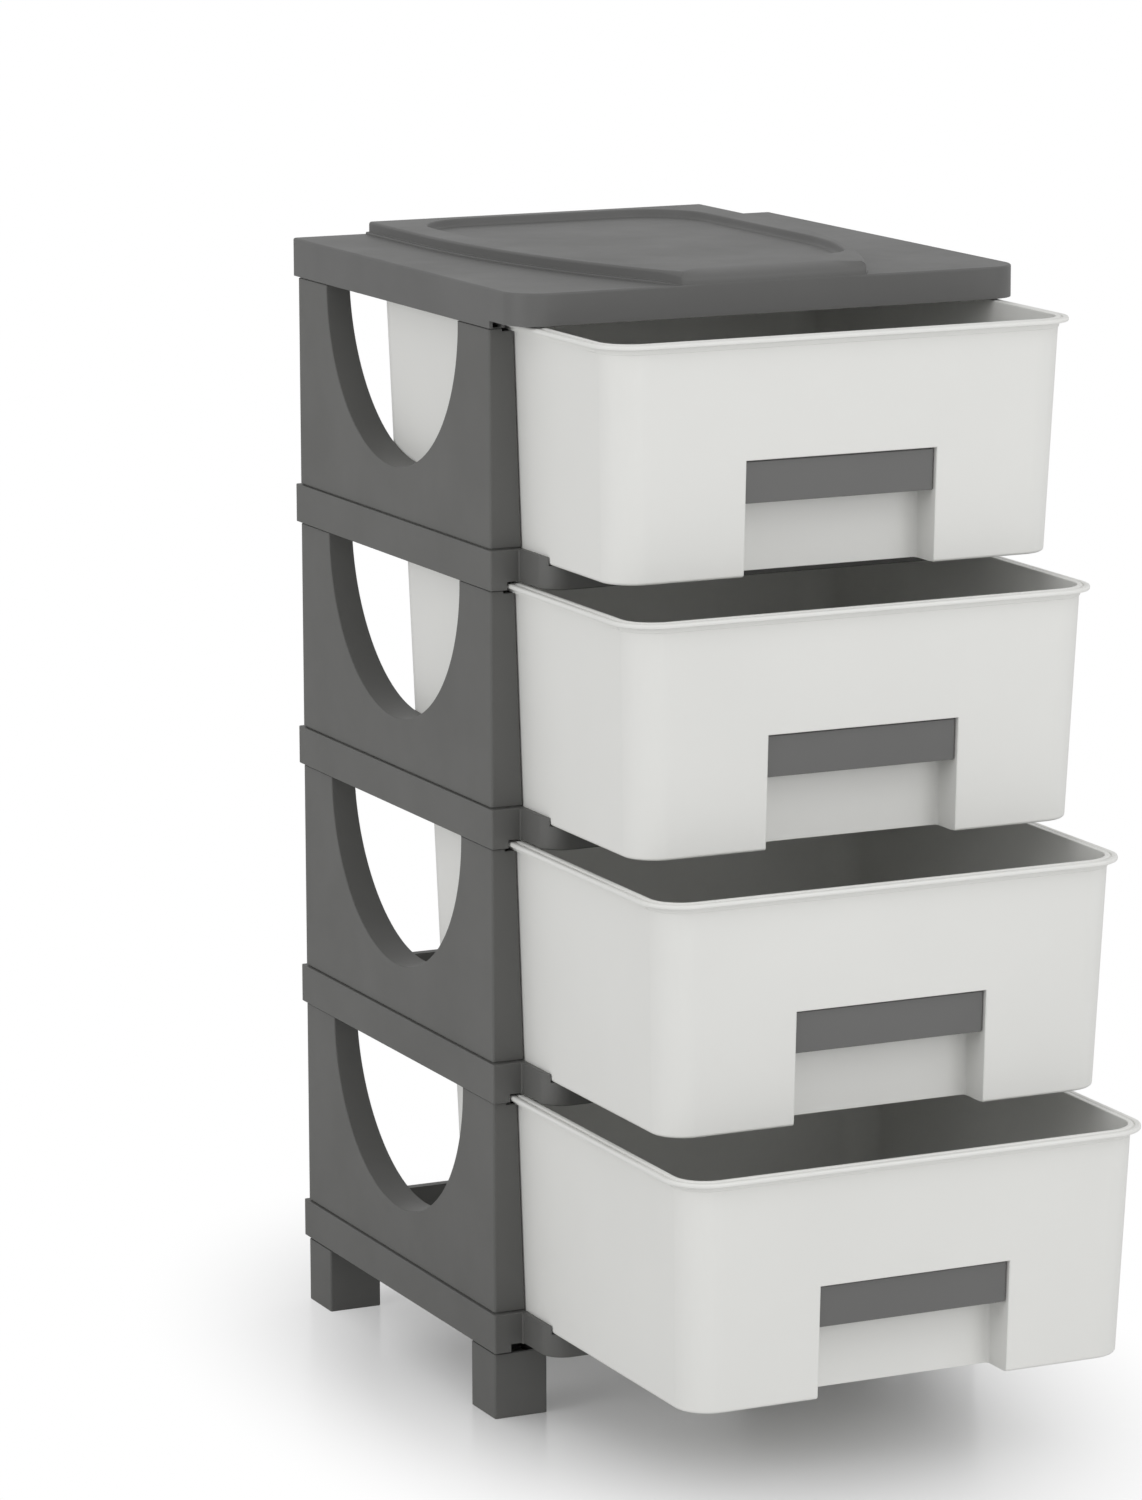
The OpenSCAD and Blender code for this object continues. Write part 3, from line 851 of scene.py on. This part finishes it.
@functools.lru_cache(maxsize=None)
def plateau_outline(inset):
    return curved_outline(PLATEAU_HALF, PLATEAU_FRONT, PLATEAU_BACK, PLATEAU_TURN, PLATEAU_R,
                          PLATEAU_FRONT_R, PLATEAU_BACK_R, inset)


def plateau_point(i, inset):
    """Point i of the plateau's outline, drawn in by an inset to the nearest micrometre."""
    return plateau_outline(round(inset, 3))[i]


def tray_outline(grow):
    return curved_outline(TRAY_HALF, TRAY_FRONT, TRAY_BACK, TRAY_TURN, TRAY_R, TRAY_FRONT_R,
                          TRAY_BACK_R, -grow)


def ease(distance, reach):
    """0 before a stretch, 1 after it, and a smooth change from one to the other along it."""
    t = min(max(distance / reach, 0), 1)
    return t * t * (3 - 2 * t)


def on_front(y):
    return y < PLATEAU_FRONT + NEAR


def band_rings():
    """The lid's skirt and band, from the hollow under it out and up to the rounded top edge."""
    rings = [ring_at(lid_outline(SKIRT), z) for z in (BAND_H - WEB, SKIRT_RING_Z, 0)]
    rings += [ring_at(lid_outline(inset), z) for inset, z in LID_FOOT]
    for z, inset in rounded_head(BAND_H, LID_EDGE, 4):
        ring = []
        for x, y in lid_outline(inset):
            if y < PLATEAU_FRONT + LID_EDGE and abs(x) < FLUSH_HALF:
                y = -BAY_REACH + FLUSH_LEAN * inset / LID_EDGE
            ring.append(place(x, y, z))
        rings.append(ring)
    return rings


def step_rings():
    """The low step round the plateau's foot, which almost vanishes along the front."""
    rings = []
    for out, high in STEP:
        ring = []
        for i, (x, y) in enumerate(plateau_outline(0)):
            size = STEP_FRONT + (1 - STEP_FRONT) * ease(y - PLATEAU_FRONT, STEP_TURN)
            x, y = plateau_point(i, -out * size)
            ring.append(place(x, min(y, PLATEAU_BACK), BAND_H + high * size))
        rings.append(ring)
    return rings


def roll_rings(top):
    """The plateau's upper edge: a deep roll along the front and a small one along the sides."""
    base = plateau_outline(0)
    corner_x = max(x for x, y in base if on_front(y))
    rolls = []
    for x, y in base:
        height = FRONT_ROLL + (SIDE_ROLL - FRONT_ROLL) * ease(y - PLATEAU_FRONT, ROLL_TURN)
        extra = ROLL_DEPTH * ease(corner_x - abs(x), ROLL_GROWTH) if on_front(y) else 0
        rolls.append((height, height + extra))
    rings = []
    for a in quarter(6):
        ring = []
        for i, (height, depth) in enumerate(rolls):
            x, y = plateau_point(i, depth * (1 - math.cos(a)))
            ring.append(place(x, y, top - height * (1 - math.sin(a))))
        rings.append(ring)
    return rings


def tray_rings(top):
    """The tray, from its lip down to its floor."""
    lip = [(top - drop, grow) for drop, grow in rounded_foot(0, TRAY_LIP_R, 4)]
    foot = [(top - TRAY_D - drop, -TRAY_TAPER - inset)
            for drop, inset in rounded_head(0, TRAY_FLOOR_R, 4)]
    return [ring_at(tray_outline(grow), z) for z, grow in lip + foot]


def make_lid():
    """The lid with its lower face at z = 0."""
    top = BAND_H + PLATEAU_H
    rings = band_rings() + step_rings() + roll_rings(top) + tray_rings(top)
    obj = new_object("lid_shape", loft(rings, fill_above=BAND_H - 1))
    for side in (-1, 1):
        for near in (RIB_X, HALF_W - OPEN_HALF):
            rib = side_block(side, HALF_W - near, HALF_W - near - RIB, LID_RIB_END,
                             DEPTH - LID_RIB_END, LID_RIB_Z, BAND_H - WEB + LID_RIB_SINK)
            combine(obj, rib, "UNION")
    # The channel for the rims of drawer 1, and the skirt cut away along the overhanging front
    for half, back in ((CHANNEL_HALF, DEPTH - SKIRT), (HALF_W + PAST, 0)):
        combine(obj, block(-half, half, CHANNEL_CUT_Y, back, -PAST, BAY_LIFT), "DIFFERENCE")

    def in_skirt(v):
        return v[1] > -BAY_REACH + SKIRT - NEAR and abs(v[0]) < HALF_W - SKIRT + NEAR

    def front_foot(p, q):
        low = all(abs(v[2] - BAY_LIFT) < NEAR and v[1] < NEAR for v in (p, q))
        return low and not (in_skirt(p) and in_skirt(q))

    soften(obj, LID_FRONT_EDGE, front_foot, segments=2)
    return obj


# ------------------------------------------------------------------ pieces
SIDES = (("left", False), ("right", True))


def make_pieces(make, copies):
    """Makes a shape once, and a piece of it for each node, name, shift and flip."""
    shape = make()
    for node, name, shift, flip in copies:
        repeat(shape, node, name, shift, flip)
    discard(shape)


tiers = range(1, TIERS + 1)
back_shift = DEPTH - 2 * POST_Y - FOOT_W
make_pieces(make_drawer, [(f"drawer_{k}", f"drawer_{k}_tub", (0, -OPEN[k - 1], seam(k)), False)
                          for k in tiers])
make_pieces(make_grip, [(f"grip_{k}", f"grip_{k}_bar", (0, -OPEN[k - 1], seam(k)), False)
                        for k in tiers])
make_pieces(make_frame, [(f"frame_{k}", f"frame_{k}_moulding", (0, 0, seam(k) - PITCH), False)
                         for k in tiers])
make_pieces(make_panel, [(f"side_panel_{side}_{k}", f"side_panel_{side}_{k}_moulding",
                          (0, 0, seam(k)), flip) for k in tiers for side, flip in SIDES])
make_pieces(make_foot, [(f"leg_{end}_{side}", f"leg_{end}_{side}_foot", (0, shift, 0), flip)
                        for end, shift in (("front", 0), ("back", back_shift))
                        for side, flip in SIDES])
make_pieces(make_lid, [("top_cover", "lid", (0, 0, seam(1)), False)])

# ------------------------------------------------------------------ floor, light
FLOOR_HALF = 14
FLOOR_GREY = (0.76, 0.76, 0.76, 1)
FLOOR_ROUGHNESS = 0.22
FLOOR_SPECULAR = 0.3
# The floor turns white between these distances from its middle, in metres; the place is shifted
# first, and its y counts less
FADE_SHIFT = (0.025, -0.016, 0)
FADE_STRETCH = (1, 0.6, 1)
FADE_START = 0.10
FADE_END = 0.37
# The strength of the world's light, and the point that the lamps face
FILL = 0.74
LIT = (0, 0, 0.4)


def make_floor():
    """A pale floor that fades to plain white away from the object, as the camera sees it."""
    half = FLOOR_HALF
    corners = ((-half, -half, 0), (half, -half, 0), (half, half, 0), (-half, half, 0))
    bm = bmesh.new()
    bm.faces.new([bm.verts.new(p) for p in corners])
    floor = new_object("floor", bm)
    mat = new_material("floor_pale")
    tree = mat.node_tree
    grey = add_node(tree, "BsdfPrincipled", Base_Color=FLOOR_GREY, Roughness=FLOOR_ROUGHNESS,
                    Specular_IOR_Level=FLOOR_SPECULAR)
    white = add_node(tree, "Emission", Color=PURE_WHITE, Strength=1)
    coords = add_node(tree, "TexCoord").outputs["Object"]
    spread = add_node(tree, "Mapping", Vector=coords, Location=FADE_SHIFT, Scale=FADE_STRETCH)
    distance = add_node(tree, "VectorMath", Vector=spread.outputs["Vector"])
    distance.operation = "LENGTH"
    fade = add_node(tree, "MapRange", Value=distance.outputs["Value"], From_Min=FADE_START,
                    From_Max=FADE_END)
    fade.interpolation_type = "SMOOTHSTEP"
    seen = add_node(tree, "Math")
    seen.operation = "MULTIPLY"
    tree.links.new(fade.outputs["Result"], seen.inputs[0])
    tree.links.new(add_node(tree, "LightPath").outputs["Is Camera Ray"], seen.inputs[1])
    surface = mix_shaders(tree, seen.outputs[0], grey.outputs[0], white.outputs[0])
    add_node(tree, "OutputMaterial", Surface=surface)
    floor.data.materials.append(mat)


def make_world():
    """White where the camera sees it, and a dimmer white as light."""
    world = bpy.data.worlds.new("world")
    world.use_nodes = True
    tree = world.node_tree
    tree.nodes.clear()
    fill = add_node(tree, "Background", Color=PURE_WHITE, Strength=FILL)
    seen = add_node(tree, "Background", Color=PURE_WHITE, Strength=1)
    to_camera = add_node(tree, "LightPath").outputs["Is Camera Ray"]
    surface = mix_shaders(tree, to_camera, fill.outputs[0], seen.outputs[0])
    add_node(tree, "OutputWorld", Surface=surface)
    scene.world = world


def area_light(name, at, size, power):
    data = bpy.data.lights.new(name, "AREA")
    data.shape = "DISK"
    data.size = size
    data.energy = power
    lamp = bpy.data.objects.new(name, data)
    scene.collection.objects.link(lamp)
    lamp.location = at
    lamp.rotation_euler = (Vector(LIT) - Vector(at)).to_track_quat("-Z", "Y").to_euler()


make_floor()
make_world()
# Each lamp's place, diameter in metres and power in watts
area_light("key", (1.3, -2.3, 3.0), 2.4, 13)
area_light("side", (-3.6, -0.5, 1.5), 2.0, 27)
area_light("front", (0.8, -3.6, 0.9), 2.4, 25)

scene.view_settings.view_transform = "Standard"
